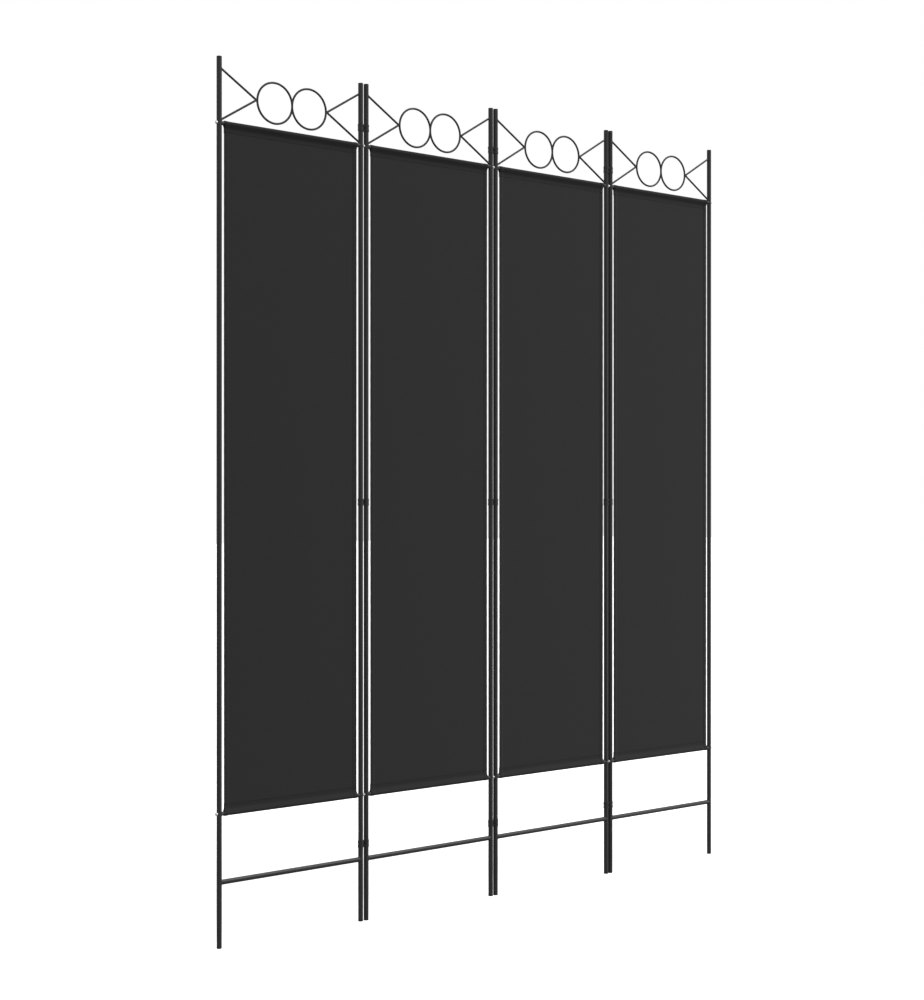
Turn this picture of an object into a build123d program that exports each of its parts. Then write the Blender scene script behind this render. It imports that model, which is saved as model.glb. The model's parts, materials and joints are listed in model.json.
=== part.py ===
"""Folding room divider screen: four cloth panels in slim steel frames, joined by clip-on hinge clips.

Frame: X along the row of panels, front towards -Y, Z up. The origin is on the floor under the middle of the
row, in the plane of the post axes. Millimetres. The screen stands fully unfolded.
"""

from build123d import *
from math import radians, sin, tan
import os

os.makedirs("parts", exist_ok=True)

# ---- Driving dimensions ----
panel_count = 4
screen_width = 1600.0
screen_height = 2000.0
post_diameter = 12.0
post_wall = 1.0
post_gap = 4.0  # between the facing posts of two neighbouring panels

# Heights of the horizontal members' axes
top_rod_height = 1851.0
bottom_rod_height = 301.0
stretcher_height = 147.5
rod_diameter = 9.5
rod_wall = 1.0
stretcher_diameter = 11.5

# Ornament above the cloth
ornament_height = 1916.0
wire_diameter = 5.0
ring_diameter = 93.4  # to the middle of the wire
brace_angle = 32.0  # each leg of a V brace above or below the level
brace_bend_radius = 3.0

# Cloth
cloth_margin = 12.0  # from a post's axis to the cloth's side edge
cloth_thickness = 0.6
pocket_clearance = 0.25
pocket_hem = 20.0  # from a rod's axis to the seam that closes its pocket

# Post ends
cap_thickness = 1.5
foot_thickness = 3.0
plug_depth = 8.0
plug_clearance = 0.1
plug_edge_chamfer = 0.4

# Screws that hold the rods, and the threaded plugs inside the rods' ends
screw_diameter = 4.0
screw_hole_diameter = 4.3
screw_length = 22.0
head_diameter = 7.4
head_height = 3.1
low_head_height = 1.45  # on facing posts, where two heads pass each other in the gap
head_edge_radius = 1.2
recess_width = 0.8
recess_span = 3.4
recess_depth = 0.8
spot_face_depth = 0.4
spot_face_diameter = 7.8
insert_length = 12.0
insert_bore_diameter = 4.04
insert_setback = 0.5  # from the post's face to the plug

# Hinge clips: two sleeves side by side, joined by a web at their upper and lower rims
clip_heights = (184.0, 1000.0, 1894.0)
clip_height = 16.0
clip_rim_height = 4.5
clip_rim_wall = 0.95
clip_sleeve_wall = 0.6
clip_clearance = 0.08
clip_web_thickness = 6.0
clip_mouth = 9.0  # opening at the back of each sleeve, which snaps over its post

# ---- Worked-out sizes ----
post_radius = post_diameter / 2
post_pitch = post_diameter + post_gap
panel_span = (screen_width - post_diameter - (panel_count - 1) * post_pitch) / panel_count
rod_radius = rod_diameter / 2
stretcher_radius = stretcher_diameter / 2
wire_radius = wire_diameter / 2
ring_radius = ring_diameter / 2
ring_offset = ring_radius  # from the panel's middle: the rings' wires lap where they meet
tube_bottom = foot_thickness
tube_top = screen_height - cap_thickness
plug_radius = post_radius - post_wall - plug_clearance


def along_x(x, height):
    """A plane facing +X, its own x along +Y, for profiles that run across the panel."""
    return Plane(origin=(x, 0, height), x_dir=(0, 1, 0), z_dir=(1, 0, 0))


def write(piece, name):
    piece.part.label = name
    export_step(piece.part, f"parts/{name}.step")


def cut_posts_away(post_xs, height, reach):
    """Shapes the ends of a member to the round posts that it meets."""
    for x in post_xs:
        with BuildSketch(Plane.XY.offset(height - reach)) as section:
            with Locations((x, 0)):
                Circle(post_radius)
        extrude(section.sketch, amount=2 * reach, mode=Mode.SUBTRACT)


def post(x, outward):
    """A tube with a screw hole through both walls at each rod; the head's side, outward, is spot-faced."""
    with BuildPart() as tube:
        with BuildSketch(Plane.XY.offset(tube_bottom)):
            with Locations((x, 0)):
                Circle(post_radius)
                Circle(post_radius - post_wall, mode=Mode.SUBTRACT)
        extrude(amount=tube_top - tube_bottom)
        for height in (top_rod_height, bottom_rod_height):
            with BuildSketch(along_x(x, height)):
                Circle(screw_hole_diameter / 2)
            extrude(amount=post_diameter, both=True, mode=Mode.SUBTRACT)
            with BuildSketch(along_x(x + outward * (post_radius - spot_face_depth), height)):
                Circle(spot_face_diameter / 2)
            extrude(amount=outward * post_radius, mode=Mode.SUBTRACT)
    return tube


def end_plugs(post_xs, face_height, shoulder_height, spigot_height):
    """Plugs for the ends of two posts: a disc as wide as the post on a spigot inside the tube."""
    with BuildPart() as plugs:
        with BuildSketch(Plane.XY.offset(face_height)):
            with Locations(*[(x, 0) for x in post_xs]):
                Circle(post_radius)
        extrude(amount=shoulder_height - face_height)
        outer = plugs.edges().filter_by(lambda edge: abs(edge.center().Z - face_height) < 0.01)
        chamfer(outer, length=plug_edge_chamfer)
        with BuildSketch(Plane.XY.offset(shoulder_height)):
            with Locations(*[(x, 0) for x in post_xs]):
                Circle(plug_radius)
        extrude(amount=spigot_height - shoulder_height)
    return plugs


def cross_tube(post_xs, height, radius, wall):
    """A round tube between two posts, coped to them."""
    with BuildPart() as tube:
        with BuildSketch(along_x(post_xs[0], height)):
            Circle(radius)
            Circle(radius - wall, mode=Mode.SUBTRACT)
        extrude(amount=post_xs[1] - post_xs[0])
        cut_posts_away(post_xs, height, 2 * radius)
    return tube


def ring(centre_x, meeting_x, keep):
    """A wire ring, ground flat on the plane where it's welded to its twin."""
    with BuildPart() as hoop:
        with BuildSketch(Plane(origin=(centre_x, 0, ornament_height))):
            with Locations((ring_radius, 0)):
                Circle(wire_radius)
        revolve(axis=Axis((centre_x, 0, ornament_height), (0, 1, 0)))
        split(bisect_by=along_x(meeting_x, ornament_height), keep=keep)
    return hoop


def brace(post_x, ring_edge_x, inward):
    """A wire bent to a V: its bend touches a ring, and its two ends are welded to a post."""
    bend_relief = brace_bend_radius * (1 / sin(radians(brace_angle)) - 1)
    apex_x = ring_edge_x - inward * (wire_radius - bend_relief)
    rise = abs(apex_x - post_x) * tan(radians(brace_angle))
    with BuildPart() as wire:
        with BuildLine(Plane.XZ) as route:
            FilletPolyline(
                (post_x, ornament_height + rise),
                (apex_x, ornament_height),
                (post_x, ornament_height - rise),
                radius=brace_bend_radius,
            )
        with BuildSketch(Plane(origin=route.wire() @ 0, z_dir=route.wire() % 0)):
            Circle(wire_radius)
        sweep()
        cut_posts_away((post_x,), ornament_height, rise + wire_diameter)
    return wire


def cloth(post_xs):
    """A flat sheet with a closed pocket round each rod."""
    pocket_inner = rod_radius + pocket_clearance
    pocket_outer = pocket_inner + cloth_thickness
    rods = ((0, top_rod_height), (0, bottom_rod_height))
    middle = (top_rod_height + bottom_rod_height) / 2
    length = top_rod_height - bottom_rod_height
    with BuildPart() as sheet:
        with BuildSketch(along_x(post_xs[0] + cloth_margin, 0)):
            with Locations((0, middle)):
                Rectangle(cloth_thickness, length)
            with Locations(
                (0, top_rod_height - pocket_hem / 2), (0, bottom_rod_height + pocket_hem / 2)
            ):
                Rectangle(2 * cloth_thickness, pocket_hem)
            with Locations(*rods):
                Circle(pocket_outer)
            with Locations(*rods):
                Circle(pocket_inner, mode=Mode.SUBTRACT)
        extrude(amount=post_xs[1] - post_xs[0] - 2 * cloth_margin)
    return sheet


def is_end_post(x):
    return abs(x) > screen_width / 2 - post_diameter


def screw_sites(post_xs):
    """Each screw's post, the direction of its head, and its height."""
    return [
        (x, outward, height)
        for x, outward in zip(post_xs, (-1, 1))
        for height in (top_rod_height, bottom_rod_height)
    ]


def screws(post_xs):
    """Pan-head screws, driven from outside through each post into the ends of both rods."""
    with BuildPart() as fasteners:
        for x, outward, height in screw_sites(post_xs):
            seat_x = x + outward * (post_radius - spot_face_depth)
            proud = head_height if is_end_post(x) else low_head_height
            face_x = seat_x + outward * (proud + spot_face_depth)
            with BuildSketch(along_x(seat_x, height)):
                Circle(head_diameter / 2)
            extrude(amount=face_x - seat_x)
            face_centre = Vector(face_x, 0, height)
            rim = (
                fasteners.edges()
                .filter_by(GeomType.CIRCLE)
                .filter_by(lambda edge: (edge.arc_center - face_centre).length < 0.01)
            )
            fillet(rim, radius=head_edge_radius)
            with BuildSketch(along_x(face_x, height)):
                Rectangle(recess_span, recess_width)
                Rectangle(recess_width, recess_span)
            extrude(amount=-outward * recess_depth, mode=Mode.SUBTRACT)
            with BuildSketch(along_x(seat_x, height)):
                Circle(screw_diameter / 2)
            extrude(amount=-outward * screw_length)
    return fasteners


def rod_inserts(post_xs):
    """Threaded plugs pressed into the rods' ends."""
    with BuildPart() as inserts:
        for x, outward, height in screw_sites(post_xs):
            with BuildSketch(along_x(x - outward * (post_radius + insert_setback), height)):
                Circle(rod_radius - rod_wall)
                Circle(insert_bore_diameter / 2, mode=Mode.SUBTRACT)
            extrude(amount=-outward * insert_length)
    return inserts


def hinge_clips(post_xs):
    """Three moulded clips that hold two posts side by side and let each turn in its own sleeve."""
    bore_radius = post_radius + clip_clearance
    middle_x = sum(post_xs) / 2
    centres = [(x, 0) for x in post_xs]
    with BuildPart() as clips:
        for height in clip_heights:
            bottom = height - clip_height / 2
            with BuildSketch(Plane.XY.offset(bottom)):
                with Locations(*centres):
                    Circle(bore_radius + clip_sleeve_wall)
            extrude(amount=clip_height)
            for rim_bottom in (bottom, bottom + clip_height - clip_rim_height):
                with BuildSketch(Plane.XY.offset(rim_bottom)):
                    with Locations(*centres):
                        Circle(bore_radius + clip_rim_wall)
                    with Locations((middle_x, 0)):
                        Rectangle(post_pitch, clip_web_thickness)
                extrude(amount=clip_rim_height)
            with BuildSketch(Plane.XY.offset(bottom)):
                with Locations(*centres):
                    Circle(bore_radius)
                with Locations(*[(x, post_radius) for x in post_xs]):
                    Rectangle(clip_mouth, post_diameter)
            extrude(amount=clip_height, mode=Mode.SUBTRACT)
    return clips


def panel(number, left_x):
    """Writes all the pieces of one panel, whose left post stands at left_x."""
    name = f"panel_{number}"
    post_xs = (left_x, left_x + panel_span)
    middle_x = sum(post_xs) / 2
    ring_xs = (middle_x - ring_offset, middle_x + ring_offset)
    ring_reach = ring_radius + wire_radius

    write(post(post_xs[0], -1), f"{name}_left_post")
    write(post(post_xs[1], 1), f"{name}_right_post")
    write(end_plugs(post_xs, screen_height, tube_top, tube_top - plug_depth), f"{name}_post_caps")
    write(end_plugs(post_xs, 0, tube_bottom, tube_bottom + plug_depth), f"{name}_foot_plugs")
    write(cross_tube(post_xs, top_rod_height, rod_radius, rod_wall), f"{name}_top_rod")
    write(cross_tube(post_xs, bottom_rod_height, rod_radius, rod_wall), f"{name}_bottom_rod")
    write(
        cross_tube(post_xs, stretcher_height, stretcher_radius, rod_wall), f"{name}_lower_stretcher"
    )
    write(ring(ring_xs[0], middle_x, Keep.BOTTOM), f"{name}_left_ring")
    write(ring(ring_xs[1], middle_x, Keep.TOP), f"{name}_right_ring")
    write(brace(post_xs[0], ring_xs[0] - ring_reach, 1), f"{name}_left_brace")
    write(brace(post_xs[1], ring_xs[1] + ring_reach, -1), f"{name}_right_brace")
    write(cloth(post_xs), f"{name}_cloth")
    write(screws(post_xs), f"{name}_screws")
    write(rod_inserts(post_xs), f"{name}_rod_inserts")


first_post_x = post_radius - screen_width / 2
for index in range(panel_count):
    panel_x = first_post_x + index * (panel_span + post_pitch)
    panel(index + 1, panel_x)
    if index + 1 < panel_count:
        facing_posts = (panel_x + panel_span, panel_x + panel_span + post_pitch)
        write(hinge_clips(facing_posts), f"hinge_clips_{index + 1}_{index + 2}")
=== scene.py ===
"""Folding room divider screen: materials, sewn cloth, stitching and weld beads on the frame.

Metres, in the frame's own axes: X along the row of panels, front towards -Y, Z up from the floor.
"""

import json
from math import asin, atan2, cos, hypot, pi, radians, sin, sqrt, tan

import bpy
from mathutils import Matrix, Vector

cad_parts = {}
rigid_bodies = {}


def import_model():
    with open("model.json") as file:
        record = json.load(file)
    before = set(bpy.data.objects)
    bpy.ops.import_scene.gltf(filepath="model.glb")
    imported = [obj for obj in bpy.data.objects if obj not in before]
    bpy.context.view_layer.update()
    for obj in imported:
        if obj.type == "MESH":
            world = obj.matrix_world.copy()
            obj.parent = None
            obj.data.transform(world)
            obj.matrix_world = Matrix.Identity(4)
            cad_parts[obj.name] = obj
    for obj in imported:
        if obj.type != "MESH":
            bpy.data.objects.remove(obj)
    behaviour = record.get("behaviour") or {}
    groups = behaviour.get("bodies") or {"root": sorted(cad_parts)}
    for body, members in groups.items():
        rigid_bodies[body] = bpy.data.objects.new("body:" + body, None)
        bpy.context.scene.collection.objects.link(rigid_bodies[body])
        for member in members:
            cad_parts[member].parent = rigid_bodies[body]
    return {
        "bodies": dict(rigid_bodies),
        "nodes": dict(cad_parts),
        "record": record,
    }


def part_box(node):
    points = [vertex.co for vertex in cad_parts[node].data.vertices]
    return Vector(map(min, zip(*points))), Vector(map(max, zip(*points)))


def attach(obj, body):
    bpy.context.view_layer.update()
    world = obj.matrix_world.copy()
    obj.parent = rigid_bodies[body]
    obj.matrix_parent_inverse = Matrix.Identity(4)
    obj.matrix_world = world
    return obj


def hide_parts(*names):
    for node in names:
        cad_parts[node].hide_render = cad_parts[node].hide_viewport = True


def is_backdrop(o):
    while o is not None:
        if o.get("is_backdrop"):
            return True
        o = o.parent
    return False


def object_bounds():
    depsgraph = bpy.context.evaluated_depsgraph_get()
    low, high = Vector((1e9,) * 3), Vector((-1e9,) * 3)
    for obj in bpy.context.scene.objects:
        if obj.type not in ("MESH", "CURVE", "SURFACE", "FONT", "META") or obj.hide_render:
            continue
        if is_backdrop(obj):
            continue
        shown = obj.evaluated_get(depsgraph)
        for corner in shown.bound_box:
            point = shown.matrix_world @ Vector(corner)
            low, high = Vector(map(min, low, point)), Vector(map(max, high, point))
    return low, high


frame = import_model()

cad_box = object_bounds()
MM = 0.001
panels = sorted(name for name in frame["bodies"] if name.startswith("panel_"))

# ---- Camera and light ----
camera_distance = 4.155
camera_azimuth = 39.37  # left of the screen's front, in degrees
camera_heading = 38.28  # the way it looks, right of +Y
camera_height = 1.0046
camera_lens = 58.82
camera_shift_y = 0.0002
sky_strength = 0.85
horizon_strength = 0.40
ground_strength = 0.25
sky_stop = 0.85  # where the sky reaches its full strength, 0.5 being level
key_strength = 1.35  # a sun, so that its light is even over the whole screen
key_spread = 24.0  # the soft light's width, in degrees
key_azimuth = 48.0  # right of the screen's front
key_elevation = 50.0
side_power = 34.0  # an area light low on the right
side_size = 2.4
side_place = (3.4, -2.4, 0.5)
floor_size = 60.0
floor_drop = 0.2 * MM
floor_tone = 0.93
floor_roughness = 0.9
floor_glow = 0.60  # keeps the floor as pale as the background

# ---- Cloth ----
fabric_half = 0.15 * MM
weave_pitch = 0.6 * MM
pocket_radius = 5.45 * MM  # from a rod's axis to the middle of the fabric round it
pocket_hem = 20.0 * MM  # from a rod's axis to the seam that closes its pocket
pocket_close = 10.5 * MM  # from a rod's axis to where the two layers meet and lie flat
hem_allowance = 1.6 * MM  # fabric beyond that seam, up to the folded edge
turned_under = 9.0 * MM
turned_offset = 0.36 * MM  # between two layers that lie on each other
side_hem = 10.0 * MM
side_seam = 8.5 * MM  # from the cloth's edge
side_hem_back = 0.50 * MM  # where the back of a side hem lies along its seam
fold_steps = 5  # along a tight bend in the fabric
knee_start = 2.2 * MM  # before the point where a pocket's layers part
pocket_steps = 26
doubled_cloth_painted_shade = 0.86  # painted shade on doubled fabric, standing in for the light that shows through one layer but not through two
row_step = 7.0 * MM
column_step = 6.5 * MM
slack_wave = 0.45 * MM
pucker_height = 0.16 * MM
pucker_reach = 16.0 * MM
pucker_length = 31.0 * MM

# ---- Thread ----
stitch_pitch = 3.4 * MM
stitch_length = 2.7 * MM
thread_radius = 0.21 * MM
thread_lift = 0.06 * MM
stitch_sides = 5
seam_start = 2.2 * MM  # from the cloth's edge to a pocket seam's first stitch
seam_margin = 1.5 * MM
seam_hem_lift = 0.05 * MM  # where a pocket seam crosses a side hem

# ---- Weld beads ----
bead_radius = 0.85 * MM
wire_bead_radius = 0.7 * MM  # where a brace meets a post
ring_bead_radius = 0.6 * MM  # between the two rings
bend_bead_radius = 1.15 * MM  # on a brace's bend, where it meets a ring
bend_bead_reach = 3.4 * MM
bend_bead_steps = 9
bead_ripple = 0.13
bead_ripple_pitch = 1.3 * MM
bead_sides = 8


# ---------------------------------------------------------------- node helpers

class Nodes:
    """Builds one material's node tree."""

    def __init__(self, name):
        self.material = bpy.data.materials.new(name)
        self.material.use_nodes = True
        self.tree = self.material.node_tree
        self.shader = self.tree.nodes["Principled BSDF"]

    def add(self, kind, **settings):
        node = self.tree.nodes.new(kind)
        for key, value in settings.items():
            setattr(node, key, value)
        return node

    def plug(self, socket, value):
        """Links a socket to another's output, or sets it to a plain value."""
        if isinstance(value, bpy.types.NodeSocket):
            self.tree.links.new(value, socket)
        else:
            socket.default_value = value

    def math(self, operation, first, second=0.0, clamp=False):
        node = self.add("ShaderNodeMath", operation=operation, use_clamp=clamp)
        self.plug(node.inputs[0], first)
        self.plug(node.inputs[1], second)
        return node.outputs[0]

    def scaled(self, vector, scale):
        node = self.add("ShaderNodeMapping")
        self.plug(node.inputs["Vector"], vector)
        node.inputs["Scale"].default_value = scale
        return node.outputs[0]

    def noise(self, vector, scale, detail=3.0, roughness=0.5):
        node = self.add("ShaderNodeTexNoise")
        self.plug(node.inputs["Vector"], vector)
        node.inputs["Scale"].default_value = scale
        node.inputs["Detail"].default_value = detail
        node.inputs["Roughness"].default_value = roughness
        return node.outputs["Fac"]

    def ranged(self, value, low, high, to_low, to_high):
        node = self.add("ShaderNodeMapRange", clamp=True)
        self.plug(node.inputs["Value"], value)
        node.inputs["From Min"].default_value = low
        node.inputs["From Max"].default_value = high
        node.inputs["To Min"].default_value = to_low
        node.inputs["To Max"].default_value = to_high
        return node.outputs["Result"]

    def blend(self, share, first, second):
        node = self.add("ShaderNodeMix", data_type="RGBA")
        self.plug(node.inputs["Factor"], share)
        self.plug(node.inputs[6], first)
        self.plug(node.inputs[7], second)
        return node.outputs[2]

    def bump(self, height, distance, strength):
        node = self.add("ShaderNodeBump")
        node.inputs["Strength"].default_value = strength
        node.inputs["Distance"].default_value = distance
        self.plug(node.inputs["Height"], height)
        return node.outputs[0]

    def object_space(self):
        return self.add("ShaderNodeTexCoord").outputs["Object"]

    def finish(self, colour, roughness, normal, **constants):
        self.plug(self.shader.inputs["Base Color"], colour)
        self.plug(self.shader.inputs["Roughness"], roughness)
        self.plug(self.shader.inputs["Normal"], normal)
        for name, value in constants.items():
            self.shader.inputs[name.replace("_", " ")].default_value = value
        return self.material


def grey(value, warmth=0.0):
    return (value * (1 + warmth), value, value * (1 - warmth), 1.0)


# ---------------------------------------------------------------- materials

def powder_coat():
    """Satin black powder coat: orange peel, gloss patches, scuffs that thicken near the floor."""
    n = Nodes("powder_coat_black")
    place = n.object_space()
    peel = n.noise(place, 620.0, detail=1.5)
    grain = n.noise(place, 2600.0, detail=2.0)
    patches = n.noise(place, 9.0, detail=3.0)
    height = n.math("ADD", peel, n.math("MULTIPLY", grain, 0.35))
    split = n.add("ShaderNodeSeparateXYZ")
    n.plug(split.inputs[0], place)
    near_floor = n.ranged(split.outputs["Z"], 0.0, 0.12, 0.09, 0.0)
    streaks = n.noise(n.scaled(place, (260.0, 260.0, 34.0)), 1.0, detail=4.0, roughness=0.62)
    scuffs = n.ranged(n.math("ADD", streaks, near_floor), 0.735, 0.80, 0.0, 1.0)
    tone = n.blend(n.ranged(patches, 0.3, 0.7, 0.0, 1.0), grey(0.0195), grey(0.0240))
    colour = n.blend(n.math("MULTIPLY", scuffs, 0.55), tone, grey(0.055, 0.02))
    satin = n.ranged(patches, 0.3, 0.7, 0.40, 0.47)
    rough = n.math("ADD", satin, n.math("MULTIPLY", scuffs, 0.18))
    normal = n.bump(height, 0.035 * MM, strength=0.55)
    return n.finish(colour, rough, normal, Specular_IOR_Level=0.45)


def woven_cloth():
    """Plain weave of black polyester: threads pass over and under, with slubs and a soft sheen.
    Shade between the threads and on doubled hems is painted into the colour.
    """
    n = Nodes("cloth_black_weave")
    surface = n.add("ShaderNodeTexCoord").outputs["UV"]
    drift = n.math("MULTIPLY", n.noise(surface, 26.0, detail=2.0), 0.9)
    threads = n.scaled(surface, (1 / weave_pitch, 1 / weave_pitch, 1.0))
    split = n.add("ShaderNodeSeparateXYZ")
    n.plug(split.inputs[0], threads)
    across = n.math("SINE", n.math("MULTIPLY", n.math("ADD", split.outputs["X"], drift), pi))
    along = n.math("SINE", n.math("MULTIPLY", n.math("ADD", split.outputs["Y"], drift), pi))
    over = n.math("MULTIPLY", n.math("MULTIPLY", across, along), 1.6)
    over = n.ranged(over, -1.0, 1.0, 0.0, 1.0)
    warp = n.math("MULTIPLY", n.math("ABSOLUTE", across), n.math("SUBTRACT", 1.25, over))
    weft = n.math("MULTIPLY", n.math("ABSOLUTE", along), n.math("ADD", 0.25, over))
    weave = n.math("MAXIMUM", warp, weft)
    warp_slubs = n.noise(n.scaled(surface, (1500.0, 26.0, 1.0)), 1.0, detail=2.0)
    weft_slubs = n.noise(n.scaled(surface, (26.0, 1500.0, 1.0)), 1.0, detail=2.0)
    slubs = n.math("MULTIPLY", n.math("ADD", warp_slubs, weft_slubs), 0.5)
    height = n.math("ADD", weave, n.math("MULTIPLY", slubs, 0.9))
    fibres = n.noise(surface, 9000.0, detail=2.0)
    # Painted shade: the colour is darker where the weave is low, in the hollows between the
    # threads.
    weave_painted_shade = n.ranged(weave, 0.1, 1.1, 0.62, 1.12)
    shade = n.math("MULTIPLY", weave_painted_shade, n.ranged(slubs, 0.3, 0.7, 0.9, 1.1))
    shade = n.math("MULTIPLY", shade, n.ranged(fibres, 0.3, 0.7, 0.88, 1.12))
    # Painted shade: the colour is darkened where the fabric is doubled, in place of the light that
    # doesn't show through two layers.
    layers = n.add("ShaderNodeAttribute", attribute_name="layers").outputs["Fac"]
    shade = n.math("MULTIPLY", shade, n.ranged(layers, 1.0, 2.0, 1.0, doubled_cloth_painted_shade))
    colour = n.blend(n.math("MULTIPLY", shade, 0.8, clamp=True), grey(0.0030), grey(0.0300))
    rough = n.ranged(fibres, 0.2, 0.8, 0.78, 0.92)
    normal = n.bump(height, 0.07 * MM, strength=0.7)
    return n.finish(
        colour, rough, normal, Specular_IOR_Level=0.25, Sheen_Weight=0.10, Sheen_Roughness=0.45,
    )


def thread():
    """Twisted polyester thread."""
    n = Nodes("thread_black")
    place = n.object_space()
    twist = n.noise(n.scaled(place, (5200.0, 5200.0, 5200.0)), 1.0, detail=2.0)
    # The thread's own black, kept darker than the cloth so that it also paints the shade along the
    # seam grooves.
    colour = n.blend(twist, grey(0.006), grey(0.018))
    normal = n.bump(twist, 0.05 * MM, strength=0.6)
    rough = n.ranged(twist, 0.3, 0.7, 0.50, 0.66)
    return n.finish(colour, rough, normal, Specular_IOR_Level=0.4, Sheen_Weight=0.15)


def black_nylon():
    """Moulded nylon with a fine spark-eroded grain and a few handling marks."""
    n = Nodes("nylon_black")
    place = n.object_space()
    grain = n.noise(place, 3400.0, detail=3.0)
    flow = n.noise(n.scaled(place, (90.0, 90.0, 240.0)), 1.0, detail=3.0)
    colour = n.blend(flow, grey(0.012), grey(0.021))
    rough = n.math("ADD", n.ranged(flow, 0.3, 0.7, 0.44, 0.54), n.math("MULTIPLY", grain, 0.08))
    normal = n.bump(grain, 0.03 * MM, strength=0.7)
    return n.finish(colour, rough, normal, Specular_IOR_Level=0.5)


def zinc_plate():
    """Bright zinc on a rolled screw head: mottled crystals."""
    n = Nodes("zinc_plate")
    place = n.object_space()
    crystals = n.add("ShaderNodeTexVoronoi")
    n.plug(crystals.inputs["Vector"], place)
    crystals.inputs["Scale"].default_value = 1900.0
    mottle = n.noise(place, 900.0, detail=4.0)
    colour = n.blend(mottle, (0.76, 0.77, 0.78, 1.0), (0.92, 0.93, 0.94, 1.0))
    rough = n.ranged(n.math("ADD", mottle, crystals.outputs["Distance"]), 0.3, 1.3, 0.26, 0.46)
    normal = n.bump(n.math("ADD", mottle, crystals.outputs["Distance"]), 0.02 * MM, strength=0.5)
    return n.finish(colour, rough, normal, Metallic=1.0)


def plain_steel():
    """Machined mild steel with turning marks."""
    n = Nodes("machined_steel")
    place = n.object_space()
    turning = n.noise(n.scaled(place, (7000.0, 400.0, 400.0)), 1.0, detail=2.0)
    stain = n.noise(place, 240.0, detail=4.0)
    colour = n.blend(stain, (0.30, 0.30, 0.31, 1.0), (0.46, 0.46, 0.47, 1.0))
    rough = n.ranged(turning, 0.3, 0.7, 0.30, 0.50)
    normal = n.bump(turning, 0.01 * MM, strength=0.6)
    return n.finish(colour, rough, normal, Metallic=1.0)


# ---------------------------------------------------------------- mesh helpers

def add_object(name, data):
    """An object for a mesh, light or camera, linked into the scene."""
    thing = bpy.data.objects.new(name, data)
    bpy.context.scene.collection.objects.link(thing)
    return thing


def mesh_piece(name, points, faces, material, body, uvs=None, layers=None):
    """A smooth-shaded mesh that rides on a body. uvs and layers hold one value for each point."""
    mesh = bpy.data.meshes.new(name)
    mesh.from_pydata(points, [], faces)
    if uvs is not None:
        layer = mesh.uv_layers.new(name="UVMap")
        for loop in mesh.loops:
            layer.data[loop.index].uv = uvs[loop.vertex_index]
    if layers is not None:
        mesh.attributes.new("layers", "FLOAT", "POINT").data.foreach_set("value", layers)
    mesh.materials.append(material)
    mesh.shade_smooth()
    mesh.validate()
    piece = add_object(name, mesh)
    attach(piece, body)
    return piece


def append_tube(points, faces, path, radii, sides, closed=False):
    """Adds a round tube along path to points and faces. Each station has its own radius."""
    first = len(points)
    count = len(path)
    side_axis = None
    for i, station in enumerate(path):
        before = path[i - 1] if (closed or i > 0) else station
        after = path[(i + 1) % count] if (closed or i + 1 < count) else station
        direction = (after - before).normalized()
        if side_axis is None:
            side_axis = direction.orthogonal()
        side_axis = (side_axis - direction * side_axis.dot(direction)).normalized()
        other_axis = direction.cross(side_axis)
        for k in range(sides):
            turn = 2 * pi * k / sides
            points.append(station + (side_axis * cos(turn) + other_axis * sin(turn)) * radii[i])
    for i in range(count if closed else count - 1):
        here = first + i * sides
        there = first + (i + 1) % count * sides
        shift = closest_turn(points, here, there, sides) if closed and i + 1 == count else 0
        for k in range(sides):
            a, b = here + k, here + (k + 1) % sides
            c, d = there + (k + 1 + shift) % sides, there + (k + shift) % sides
            faces.append((a, b, c, d))
    if not closed:
        faces.append(tuple(first + k for k in reversed(range(sides))))
        faces.append(tuple(first + (count - 1) * sides + k for k in range(sides)))


def closest_turn(points, here, there, sides):
    """How far to turn the closing ring of a closed tube so that it meets the first one squarely."""
    return min(range(sides), key=lambda shift: (points[here] - points[there + shift]).length)


# ---------------------------------------------------------------- cloth

def pocket_path(rod_z, up):
    """(y, z) of the fabric from its turned-under end, round a rod and back to the seam.

    up is 1 at the top rod, where the pocket hangs below the rod, and -1 at the bottom rod.
    """
    def place(y, below):
        return (y, rod_z - up * below)

    lean = asin(pocket_radius / pocket_close)
    edge = pocket_hem + hem_allowance
    bend = turned_offset / 2
    path = [place(turned_offset, edge - turned_under * share) for share in (1.0, 0.6, 0.25)]
    for step in range(fold_steps):
        turn = pi * step / (fold_steps - 1)
        path.append(place(turned_offset + bend * (1 - cos(turn)), edge - bend + bend * sin(turn)))
    path.append(place(2 * turned_offset, (pocket_hem + pocket_close) / 2))
    path += eased(place, 2 * turned_offset, lean, 1)
    for step in range(pocket_steps + 1):
        turn = -lean + (pi + 2 * lean) * step / pocket_steps
        path.append(place(pocket_radius * cos(turn), -pocket_radius * sin(turn)))
    path += eased(place, 0.0, lean, -1)[::-1]
    path.append(place(0.0, (pocket_hem + pocket_close) / 2))
    path.append(place(0.0, pocket_hem - 1.0 * MM))
    path.append(place(0.0, pocket_hem))
    return path


def eased(place, flat_y, lean, side):
    """The fabric's bend from flat to the slope that leads on to the rod, on one side."""
    rod_foot = (side * pocket_radius * cos(lean), pocket_radius * sin(lean))
    knee = (flat_y, pocket_close)
    start = (flat_y, pocket_close + knee_start)
    end = tuple(k + (f - k) * 0.3 for k, f in zip(knee, rod_foot))
    bend = []
    for step in range(fold_steps):
        s = step / (fold_steps - 1)
        weights = ((1 - s) ** 2, 2 * s * (1 - s), s ** 2)
        spot = (sum(w * q[i] for w, q in zip(weights, (start, knee, end))) for i in (0, 1))
        bend.append(place(*spot))
    bend.append(place(*((e + f) / 2 for e, f in zip(end, rod_foot))))
    return bend


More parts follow.
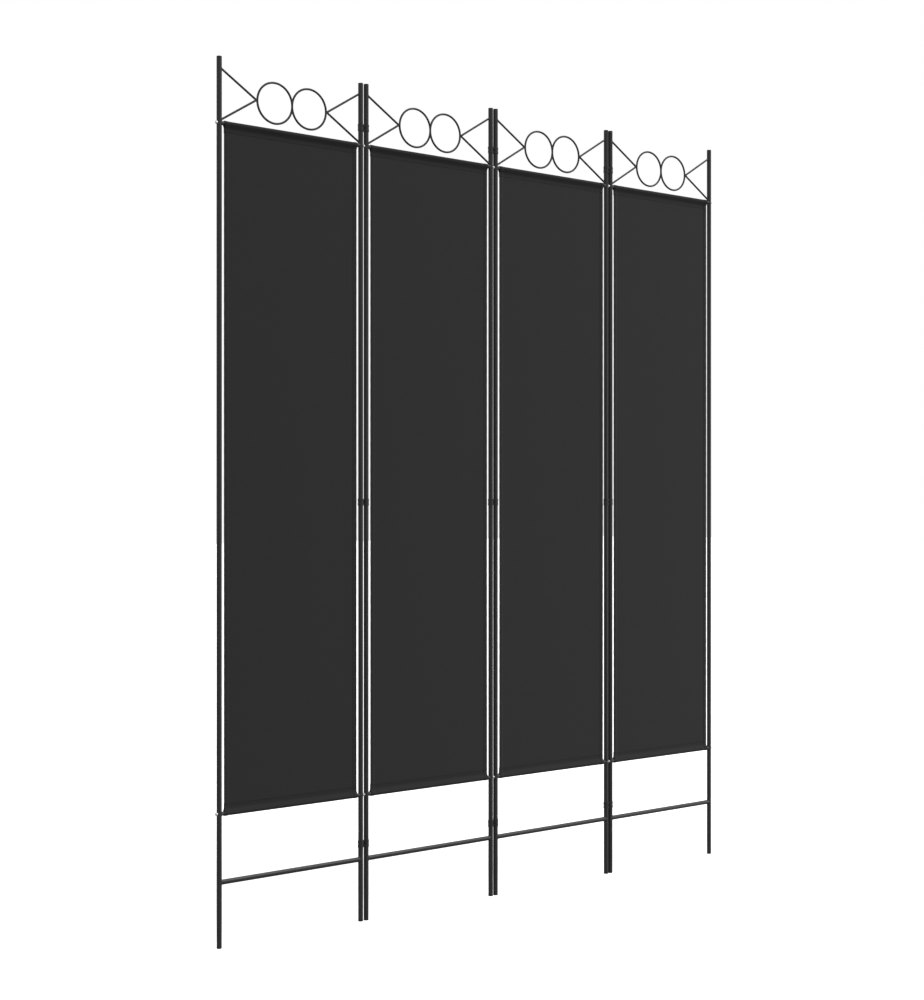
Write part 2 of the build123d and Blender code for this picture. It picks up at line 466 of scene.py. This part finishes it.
def cloth_path(top_rod_z, bottom_rod_z):
    """(y, z) along the whole cut length of the fabric, from the top's raw end to the bottom's."""
    top = pocket_path(top_rod_z, 1)
    bottom = pocket_path(bottom_rod_z, -1)
    high, low = top_rod_z - pocket_hem, bottom_rod_z + pocket_hem
    near = [0.0, 1.2 * MM, 3.2 * MM]
    rows = int((high - low - 2 * near[-1]) / row_step)
    flat = [(0.0, high - drop) for drop in near]
    flat += [
        (0.0, high - near[-1] - (high - low - 2 * near[-1]) * i / rows)
        for i in range(1, rows)
    ]
    flat += [(0.0, low + rise) for rise in reversed(near)]
    return top + flat + bottom[::-1]


def sway(number, x, z, width, high, low):
    """How far the hung cloth stands off its plane at a point: slack and sewing pucker."""
    if not low < z < high:
        return 0.0
    height = (z - low) / (high - low)
    phase = 1.7 * number
    hang = sin(pi * height)
    broad = sin(5.1 * x / width + phase)
    narrow = sin(11.3 * x / width + 2.3 * phase + 2.0 * height)
    wave = 0.6 * broad + 0.4 * narrow
    edge = min(x, width - x)
    side = max(0.0, 1 - edge / pucker_reach) ** 2 * sin(2 * pi * z / pucker_length + phase)
    end = min(high - z, z - low)
    across = max(0.0, 1 - end / pucker_reach) ** 2 * sin(2 * pi * x / pucker_length + 2 * phase)
    fade = min(1.0, end / (3 * MM))
    return slack_wave * hang * wave + pucker_height * fade * (side * min(1.0, hang * 4) + across)


def cloth_columns(width):
    """(x, front, back): places across the cloth, and how far each face stands off its middle."""
    edge = [
        (0.0, 0.00, 0.32),
        (0.05, -0.10, 0.50),
        (0.25, -0.19, 0.59),
        (0.7, -0.20, 0.60),
        (4.5, -0.20, 0.60),
        (7.6, -0.20, 0.60),
        (8.1, -0.185, 0.57),
        (8.5, -0.15, 0.50),
        (8.9, -0.185, 0.57),
        (9.6, -0.19, 0.60),
        (9.95, -0.16, 0.45),
        (10.15, -0.15, 0.15),
        (12.5, -0.15, 0.15),
    ]
    left = [(x * MM, front * MM, back * MM) for x, front, back in edge]
    right = [(width - x, front, back) for x, front, back in reversed(left)]
    start, end = left[-1][0], right[0][0]
    steps = int((end - start) / column_step)
    middle = [
        (start + (end - start) * i / steps, -fabric_half, fabric_half)
        for i in range(1, steps)
    ]
    return left + middle + right


def cloth_sheet(number, body, material):
    """The fabric of one panel: one closed mesh, with end pockets and side hems."""
    low_corner, high_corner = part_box(f"{body}_cloth")
    width = high_corner.x - low_corner.x
    top_rod_z, bottom_rod_z = (rod_axis(body, rod).z for rod in ("top_rod", "bottom_rod"))
    path = cloth_path(top_rod_z, bottom_rod_z)
    columns = cloth_columns(width)
    high, low = top_rod_z - pocket_hem, bottom_rod_z + pocket_hem
    points, uvs, layers = [], [], []
    travelled = 0.0
    for i, (y, z) in enumerate(path):
        if i:
            travelled += hypot(y - path[i - 1][0], z - path[i - 1][1])
        before, after = path[max(i - 1, 0)], path[min(i + 1, len(path) - 1)]
        run = Vector((0.0, after[0] - before[0], after[1] - before[1])).normalized()
        inward = Vector((1.0, 0.0, 0.0)).cross(run) * -1
        for x, front, back in columns:
            middle = Vector((low_corner.x + x, y + sway(number, x, z, width, high, low), z))
            points += [middle + inward * front, middle + inward * back]
            uvs += [(x, travelled)] * 2
            # Counts the fabric layers; the cloth's material paints shade where there are two.
            doubled = min(x, width - x) < side_hem or not low < z < high
            layers += [2.0 if doubled else 1.0] * 2
    faces = grid_shell(len(path), len(columns))
    name = f"{body}_cloth_sheet"
    piece = mesh_piece(name, points, faces, material, body, uvs, layers)
    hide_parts(f"{body}_cloth")
    return piece, (width + 4 * side_hem, travelled)


def grid_shell(rows, columns):
    """Faces of a closed sheet whose points come row by row, front and back in turn."""
    def front(i, j):
        return 2 * (i * columns + j)

    def back(i, j):
        return front(i, j) + 1

    faces = []
    for i in range(rows - 1):
        for j in range(columns - 1):
            faces.append((front(i, j), front(i + 1, j), front(i + 1, j + 1), front(i, j + 1)))
            faces.append((back(i, j), back(i, j + 1), back(i + 1, j + 1), back(i + 1, j)))
        last = columns - 1
        faces.append((front(i, 0), back(i, 0), back(i + 1, 0), front(i + 1, 0)))
        faces.append((front(i, last), front(i + 1, last), back(i + 1, last), back(i, last)))
    for j in range(columns - 1):
        last = rows - 1
        faces.append((front(0, j), front(0, j + 1), back(0, j + 1), back(0, j)))
        faces.append((front(last, j), back(last, j), back(last, j + 1), front(last, j + 1)))
    return faces


def rod_axis(body, rod):
    """The middle of a rod's axis."""
    low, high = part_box(f"{body}_{rod}")
    return (low + high) / 2


def append_stitch(points, faces, centre, along, radius):
    """Adds one stitch: a short length of thread that dips into the cloth at both ends."""
    first = len(points)
    outward = Vector((0.0, -1.0 if centre.y < 0 else 1.0, 0.0))
    side = along.cross(outward)
    for share, swell, sink in ((-0.36, 0.8, -0.5), (0.0, 1.0, 0.0), (0.36, 0.8, -0.5)):
        for k in range(stitch_sides):
            turn = 2 * pi * k / stitch_sides
            rim = (side * cos(turn) + outward * sin(turn)) * radius * swell
            points.append(centre + along * share * stitch_length + outward * sink * radius + rim)
    for share in (-0.5, 0.5):
        points.append(centre + along * share * stitch_length - outward * 2.0 * radius)
    for ring in range(2):
        for k in range(stitch_sides):
            here = first + ring * stitch_sides + k
            ahead = first + ring * stitch_sides + (k + 1) % stitch_sides
            faces.append((here, ahead, ahead + stitch_sides, here + stitch_sides))
    start, end = first + 3 * stitch_sides, first + 3 * stitch_sides + 1
    for k in range(stitch_sides):
        ahead = (k + 1) % stitch_sides
        faces.append((start, first + ahead, first + k))
        faces.append((end, first + 2 * stitch_sides + k, first + 2 * stitch_sides + ahead))


def stitching(number, body, material):
    """Lockstitch down both side hems and along both pocket seams, on both faces."""
    low_corner, high_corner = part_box(f"{body}_cloth")
    width = high_corner.x - low_corner.x
    top_rod_z, bottom_rod_z = (rod_axis(body, rod).z for rod in ("top_rod", "bottom_rod"))
    high, low = top_rod_z - pocket_hem, bottom_rod_z + pocket_hem
    points, faces = [], []
    rows = int((high - low - stitch_pitch) / stitch_pitch)
    for i in range(rows):
        z = low + stitch_pitch * (i + 1)
        for x in (side_seam, width - side_seam):
            stand = sway(number, x, z, width, high, low)
            for face_y in (-fabric_half - thread_lift, side_hem_back + thread_lift):
                centre = Vector((low_corner.x + x, stand + face_y, z))
                append_stitch(points, faces, centre, Vector((0.0, 0.0, 1.0)), thread_radius)
    back_y = 2 * turned_offset + fabric_half + thread_lift
    for i in range(int((width - seam_margin) / stitch_pitch)):
        x = seam_start + stitch_pitch * i
        in_hem = min(x, width - x) < side_hem
        for z in (high, low):
            for face_y in (-fabric_half - thread_lift - in_hem * seam_hem_lift, back_y):
                centre = Vector((low_corner.x + x, face_y, z))
                append_stitch(points, faces, centre, Vector((1.0, 0.0, 0.0)), thread_radius)
    return mesh_piece(f"{body}_stitching", points, faces, material, body)


# ---------------------------------------------------------------- weld beads

def bead_radii(path, closed, radius=bead_radius):
    """A welder's ripple along the bead, and thin ends where it's open."""
    radii, travelled = [], 0.0
    for i, station in enumerate(path):
        if i:
            travelled += (station - path[i - 1]).length
        ripple = 1 + bead_ripple * cos(2 * pi * travelled / bead_ripple_pitch)
        taper = 1.0 if closed else max(0.3, sin(pi * (i + 0.5) / len(path)) ** 0.5)
        radii.append(radius * ripple * taper)
    return radii


def meeting_loop(post_axis, post_radius, start, direction, radius, stations=40):
    """Where a round bar, which starts at start and runs along direction, meets a post's wall."""
    up = Vector((0.0, 1.0, 0.0))
    side = direction.cross(up)
    inward = 1.0 if direction.x > 0 else -1.0
    loop = []
    for i in range(stations):
        turn = 2 * pi * i / stations
        rim = start + (up * cos(turn) + side * sin(turn)) * radius
        wall_x = post_axis.x + inward * sqrt(post_radius ** 2 - rim.y ** 2)
        loop.append(rim + direction * ((wall_x - rim.x) / direction.x))
    return loop


def ring_lens(middle, ring_radius, wire_radius, stations=56):
    """The outline of the flat where two rings are welded side by side."""
    loop = []
    for i in range(stations):
        turn = 2 * pi * i / stations
        reach = ring_radius + wire_radius * abs(cos(turn))
        rise = sqrt(reach ** 2 - ring_radius ** 2)
        height = rise if cos(turn) >= 0 else -rise
        loop.append(middle + Vector((0.0, wire_radius * sin(turn), height)))
    return loop


def weld_beads(body, material):
    """Beads at the stretcher's ends, at the braces' ends and bends, and between the rings."""
    points, faces = [], []

    def closed_bead(loop, radius=bead_radius):
        append_tube(points, faces, loop, bead_radii(loop, True, radius), bead_sides, closed=True)

    post_low, post_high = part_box(f"{body}_left_post")
    post_radius = (post_high.y - post_low.y) / 2
    ring_low, ring_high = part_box(f"{body}_left_ring")
    wire_radius = (ring_high.y - ring_low.y) / 2
    ring_radius = (ring_high.z - ring_low.z) / 2 - wire_radius
    ornament_z = (ring_high.z + ring_low.z) / 2
    stretcher_low, stretcher_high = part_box(f"{body}_lower_stretcher")
    stretcher_radius = (stretcher_high.z - stretcher_low.z) / 2
    stretcher_z = (stretcher_high.z + stretcher_low.z) / 2
    for side, inward in (("left", 1.0), ("right", -1.0)):
        low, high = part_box(f"{body}_{side}_post")
        axis = Vector(((low.x + high.x) / 2, 0.0, 0.0))
        start = Vector((axis.x, 0.0, stretcher_z))
        level = Vector((inward, 0.0, 0.0))
        closed_bead(meeting_loop(axis, post_radius, start, level, stretcher_radius))
        brace_low, brace_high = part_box(f"{body}_{side}_brace")
        bend_x = brace_high.x if inward > 0 else brace_low.x
        rise = (brace_high.z - brace_low.z) / 2
        run = abs(bend_x - axis.x)
        slope = atan2(rise - wire_radius, run - post_radius)
        for tilt in (1.0, -1.0):
            direction = Vector((inward * cos(slope), 0.0, -tilt * sin(slope)))
            wire_start = Vector((axis.x, 0.0, ornament_z + tilt * run * tan(slope)))
            loop = meeting_loop(axis, post_radius, wire_start, direction, wire_radius)
            closed_bead(loop, wire_bead_radius)
        for face in (-1.0, 1.0):
            path = [
                Vector((
                    bend_x,
                    face * 0.55 * wire_radius,
                    ornament_z + bend_bead_reach * step / bend_bead_steps,
                ))
                for step in range(-bend_bead_steps, bend_bead_steps + 1)
            ]
            radii = bead_radii(path, False, bend_bead_radius)
            append_tube(points, faces, path, radii, bead_sides)
    middle = Vector((ring_high.x, 0.0, ornament_z))
    closed_bead(ring_lens(middle, ring_radius, wire_radius), ring_bead_radius)
    for point in points:  # dressed flush, so that no bead stands out beyond the posts
        point.y = max(-post_radius, min(post_radius, point.y))
    return mesh_piece(f"{body}_welds", points, faces, material, body)


# ---------------------------------------------------------------- stage

def world_light():
    """White behind the object; a soft light that is bright above and dim below."""
    world = bpy.data.worlds.new("studio")
    bpy.context.scene.world = world
    world.use_nodes = True
    tree = world.node_tree
    place = tree.nodes.new("ShaderNodeTexCoord")
    split = tree.nodes.new("ShaderNodeSeparateXYZ")
    ramp = tree.nodes.new("ShaderNodeValToRGB")
    height = tree.nodes.new("ShaderNodeMapRange")
    height.inputs["From Min"].default_value = -1.0
    stops = ramp.color_ramp.elements
    stops[0].color = grey(ground_strength)
    stops[1].color = grey(sky_strength)
    stops[1].position = sky_stop
    horizon = stops.new(0.5)
    horizon.color = grey(horizon_strength)
    light = tree.nodes["Background"]
    seen = tree.nodes.new("ShaderNodeBackground")
    choice = tree.nodes.new("ShaderNodeMixShader")
    rays = tree.nodes.new("ShaderNodeLightPath")
    for start, end in (
        (place.outputs["Generated"], split.inputs[0]),
        (split.outputs["Z"], height.inputs["Value"]),
        (height.outputs["Result"], ramp.inputs["Fac"]),
        (ramp.outputs["Color"], light.inputs["Color"]),
        (rays.outputs["Is Camera Ray"], choice.inputs[0]),
        (light.outputs[0], choice.inputs[1]),
        (seen.outputs[0], choice.inputs[2]),
        (choice.outputs[0], tree.nodes["World Output"].inputs["Surface"]),
    ):
        tree.links.new(start, end)
    seen.inputs["Color"].default_value = grey(1.0)


def floor():
    """A plain pale floor that takes a faint shadow."""
    half = floor_size / 2
    mesh = bpy.data.meshes.new("floor")
    corners = [(-half, -half), (half, -half), (half, half), (-half, half)]
    mesh.from_pydata([(x, y, -floor_drop) for x, y in corners], [], [(0, 1, 2, 3)])
    n = Nodes("floor_pale")
    n.shader.inputs["Base Color"].default_value = grey(floor_tone)
    n.shader.inputs["Roughness"].default_value = floor_roughness
    n.shader.inputs["Specular IOR Level"].default_value = 0.0
    n.shader.inputs["Emission Color"].default_value = grey(1.0)
    n.shader.inputs["Emission Strength"].default_value = floor_glow
    mesh.materials.append(n.material)
    plane = add_object("floor", mesh)
    plane.visible_diffuse = False
    plane.visible_glossy = False
    plane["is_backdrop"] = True


def studio_lights():
    """A broad, distant key light, even from end to end, and an area light low on the right."""
    key = bpy.data.lights.new("key", "SUN")
    key.energy = key_strength
    key.angle = radians(key_spread)
    lamp = add_object("key", key)
    lamp.rotation_euler = (radians(90 - key_elevation), 0.0, radians(key_azimuth))
    side = bpy.data.lights.new("side", "AREA")
    side.size = side_size
    side.energy = side_power
    lamp = add_object("side", side)
    lamp.location = side_place
    lamp.rotation_euler = Vector(side_place).to_track_quat("Z", "Y").to_euler()


def camera():
    """The one camera, level and a little over the screen's mid-height."""
    lens = bpy.data.cameras.new("camera")
    lens.lens = camera_lens
    lens.shift_y = camera_shift_y
    seer = add_object("camera", lens)
    azimuth = radians(camera_azimuth)
    seer.location = (
        -camera_distance * sin(azimuth), -camera_distance * cos(azimuth), camera_height,
    )
    seer.rotation_euler = (radians(90), 0.0, -radians(camera_heading))
    bpy.context.scene.camera = seer


# ---------------------------------------------------------------- scene

scene = bpy.context.scene
scene.view_settings.view_transform = "Standard"
scene.view_settings.look = "None"

finishes = {
    "powder_coat": powder_coat(),
    "cloth": woven_cloth(),
    "black_nylon": black_nylon(),
    "zinc_steel": zinc_plate(),
    "plain_steel": plain_steel(),
}
for subpart in frame["record"]["subparts"]:
    node = frame["nodes"][subpart["node"]]
    for place in node.material_slots:
        place.material = finishes[subpart["material_slot"]]

camera()
world_light()
studio_lights()
floor()

sewing = thread()
for number, body in enumerate(panels, start=1):
    fabric, cut = cloth_sheet(number, body, finishes["cloth"])
    seams = stitching(number, body, sewing)
    weld_beads(body, finishes["powder_coat"])

looks_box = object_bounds()
boxes = {"cad": cad_box, "visual": looks_box}
{name: [list(corner) for corner in box] for name, box in boxes.items()}
